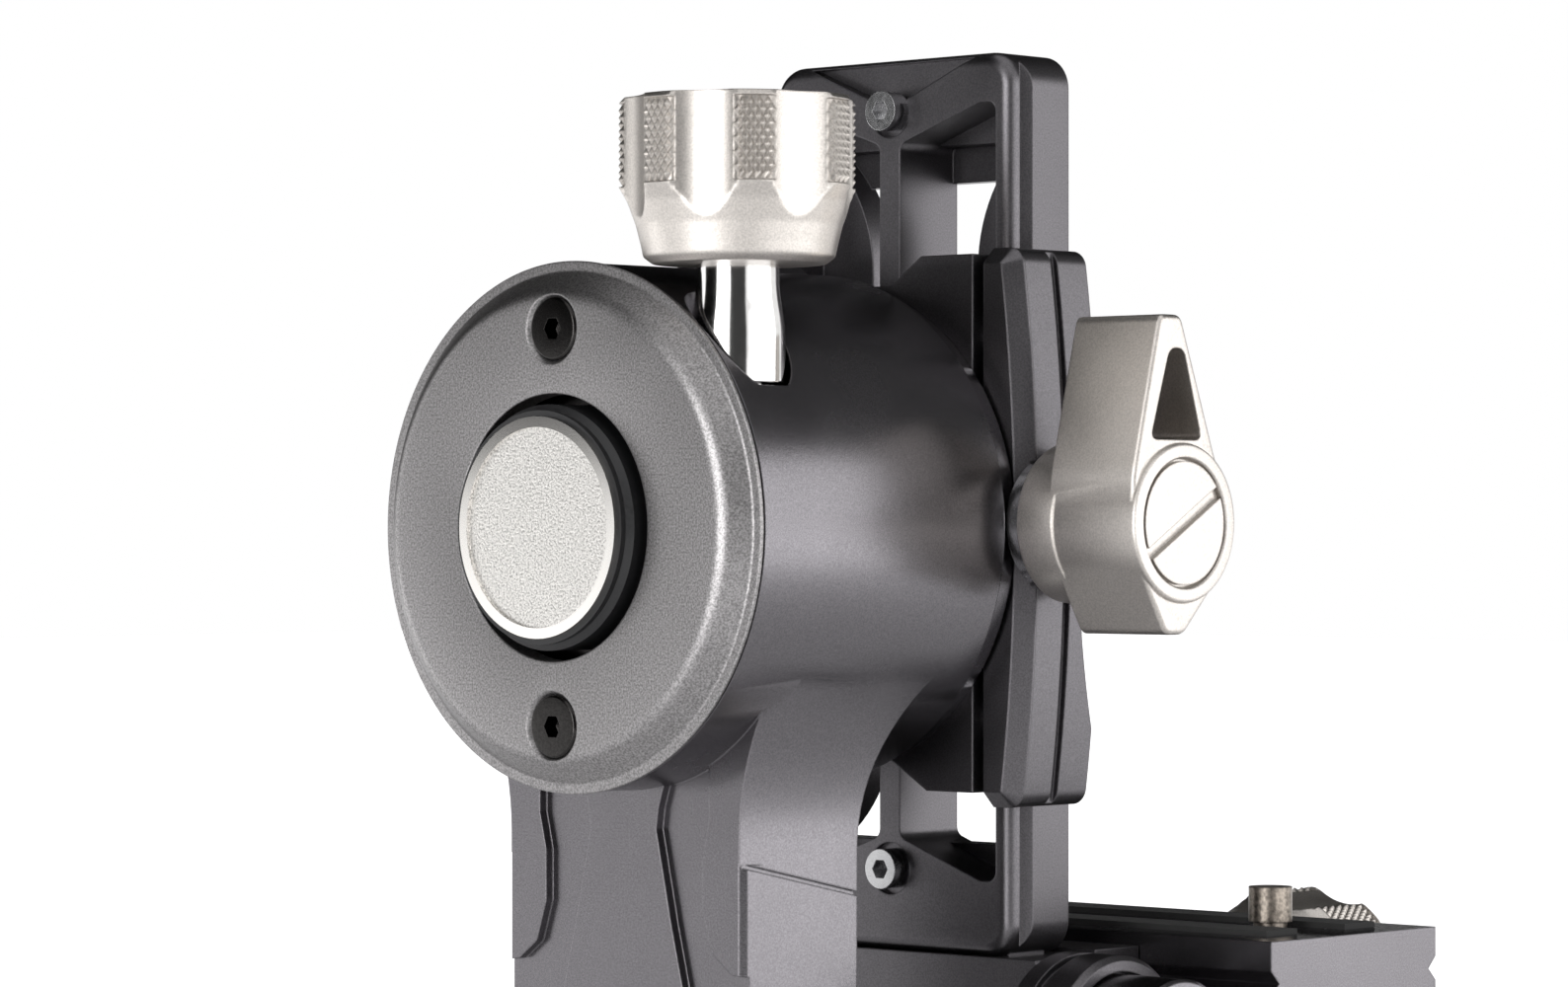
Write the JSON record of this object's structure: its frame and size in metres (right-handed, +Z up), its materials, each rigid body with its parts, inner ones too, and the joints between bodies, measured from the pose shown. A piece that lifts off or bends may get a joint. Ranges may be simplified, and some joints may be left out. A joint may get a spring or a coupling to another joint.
{
  "type": "gimbal tripod head",
  "caption": "Side-arm gimbal head for long lenses: panning base, L-shaped arm, tilting drum, clamped dovetail rail and quick-release platform.",
  "frame": {"origin": "centre of the base's underside, on the pan axis", "axes": "+Z up along the pan axis; the tilt axis runs along X at 170 mm, drum end cap towards -X; the lens points along Y"},
  "size_m": [0.1714, 0.1116, 0.236],
  "materials": {
    "black_alloy": "hard anodised, fine blasted",
    "clear_alloy": "clear anodised, fine blasted",
    "polished_steel": "polished",
    "black_steel": "black oxide",
    "bearing_steel": "ground",
    "nickel_badge": "fine hammered",
    "black_polymer": "matte",
    "bronze_pad": "machined",
    "rubber_strip": "ribbed"
  },
  "bodies": {
    "base": {"base_plate": "black_alloy", "base_screws": "black_steel", "thread_insert": "bearing_steel", "degree_ring": "black_alloy", "pan_shaft": "bearing_steel", "pan_bearing_inner_rings": "bearing_steel", "pan_locknut": "bearing_steel"},
    "turntable": {"lower_arm": "black_alloy", "pan_cap": "black_alloy", "pan_cap_screws": "black_steel", "pan_bearing_outer_rings": "bearing_steel", "pan_bearing_balls": "bearing_steel", "tilt_arm": "black_alloy", "arm_screws": "black_steel", "end_cap": "black_alloy", "end_cap_screws": "black_steel", "tilt_bearing_outer_rings": "bearing_steel", "tilt_bearing_balls": "bearing_steel"},
    "pan_brake": {"pan_pad": "bronze_pad"},
    "pan_handle": {"pan_lock_stem": "polished_steel", "pan_lock_knob": "clear_alloy"},
    "tilt_hub": {"tilt_shaft": "black_alloy", "tilt_bearing_inner_rings": "bearing_steel", "tilt_brake_drum": "bearing_steel", "axle_plug": "black_polymer", "badge_disc": "nickel_badge", "clamp_base": "black_alloy", "hub_screws": "black_steel"},
    "tilt_brake": {"tilt_pad": "bronze_pad"},
    "tilt_handle": {"tilt_lock_stem": "polished_steel", "tilt_lock_knob": "clear_alloy"},
    "jaw": {"clamp_jaw": "black_alloy", "jaw_guide_pins": "bearing_steel"},
    "lever": {"clamp_lever": "clear_alloy", "clamp_spindle": "polished_steel", "lever_cap_screw": "clear_alloy", "thrust_washer": "bearing_steel"},
    "rail": {"swing_rail": "black_alloy", "rail_stop_screws": "polished_steel", "platform_bracket": "black_alloy", "bracket_screws": "black_steel", "qr_base": "black_alloy", "qr_screws": "black_steel"},
    "platform_brake": {"platform_pad": "bronze_pad"},
    "platform_handle": {"platform_lock_stem": "black_steel", "platform_lock_knob": "black_alloy"},
    "qr_slider": {"qr_jaw": "black_alloy", "qr_guide_pins": "bearing_steel"},
    "qr_handle": {"qr_stem": "polished_steel", "qr_knob": "clear_alloy"},
    "plate": {"lens_plate": "black_alloy", "plate_pads": "rubber_strip", "camera_screw": "bearing_steel"}
  },
  "joints": [
    {"name": "pan", "type": "hinge", "parent": "base", "child": "turntable", "pos_m": [0, 0, 0.02], "axis": [0, 0, 1], "continuous": true},
    {"name": "pan_brake_slide", "type": "slide", "parent": "turntable", "child": "pan_brake", "axis": [0, -1, 0], "range_m": [0, 0.00125]},
    {"name": "pan_lock_turn", "type": "hinge", "parent": "pan_brake", "child": "pan_handle", "pos_m": [0, -0.04, 0.029], "axis": [0, -1, 0], "range_deg": [0, 360]},
    {"name": "tilt", "type": "hinge", "parent": "turntable", "child": "tilt_hub", "pos_m": [-0.08, 0, 0.17], "axis": [1, 0, 0], "continuous": true},
    {"name": "tilt_brake_slide", "type": "slide", "parent": "turntable", "child": "tilt_brake", "axis": [0, 0, 1], "range_m": [0, 0.00125]},
    {"name": "tilt_lock_turn", "type": "hinge", "parent": "tilt_brake", "child": "tilt_handle", "pos_m": [-0.099, -0.0234, 0.2042], "axis": [0, 0, 1], "range_deg": [0, 360]},
    {"name": "jaw_slide", "type": "slide", "parent": "tilt_hub", "child": "jaw", "axis": [0, -1, 0], "range_m": [0, 0.0025]},
    {"name": "lever_turn", "type": "hinge", "parent": "jaw", "child": "lever", "pos_m": [-0.04985, -0.05, 0.1706], "axis": [0, -1, 0], "range_deg": [0, 720]},
    {"name": "rail_slide", "type": "slide", "parent": "tilt_hub", "child": "rail", "axis": [0, 0, 1], "range_m": [-0.015, 0.007]},
    {"name": "platform_brake_slide", "type": "slide", "parent": "rail", "child": "platform_brake", "axis": [0, -1, 0], "range_m": [0, 0.00125]},
    {"name": "platform_lock_turn", "type": "hinge", "parent": "platform_brake", "child": "platform_handle", "pos_m": [-0.03725, -0.0348, 0.0972], "axis": [0, -1, 0], "range_deg": [0, 360]},
    {"name": "qr_jaw_slide", "type": "slide", "parent": "rail", "child": "qr_slider", "axis": [1, 0, 0], "range_m": [0, 0.0025]},
    {"name": "qr_turn", "type": "hinge", "parent": "qr_slider", "child": "qr_handle", "pos_m": [0.036, 0, 0.0988], "axis": [1, 0, 0], "range_deg": [0, 720]},
    {"name": "plate_slide", "type": "slide", "parent": "rail", "child": "plate", "axis": [0, 1, 0], "range_m": [-0.03, 0.03]}
  ],
  "couplings": [
    {"joint": "pan_lock_turn", "follows": "pan_brake_slide", "rad_per_m": 5026.5},
    {"joint": "tilt_lock_turn", "follows": "tilt_brake_slide", "rad_per_m": 5026.5},
    {"joint": "lever_turn", "follows": "jaw_slide", "rad_per_m": 5026.5},
    {"joint": "platform_lock_turn", "follows": "platform_brake_slide", "rad_per_m": 5026.5},
    {"joint": "qr_turn", "follows": "qr_jaw_slide", "rad_per_m": 5026.5}
  ]
}
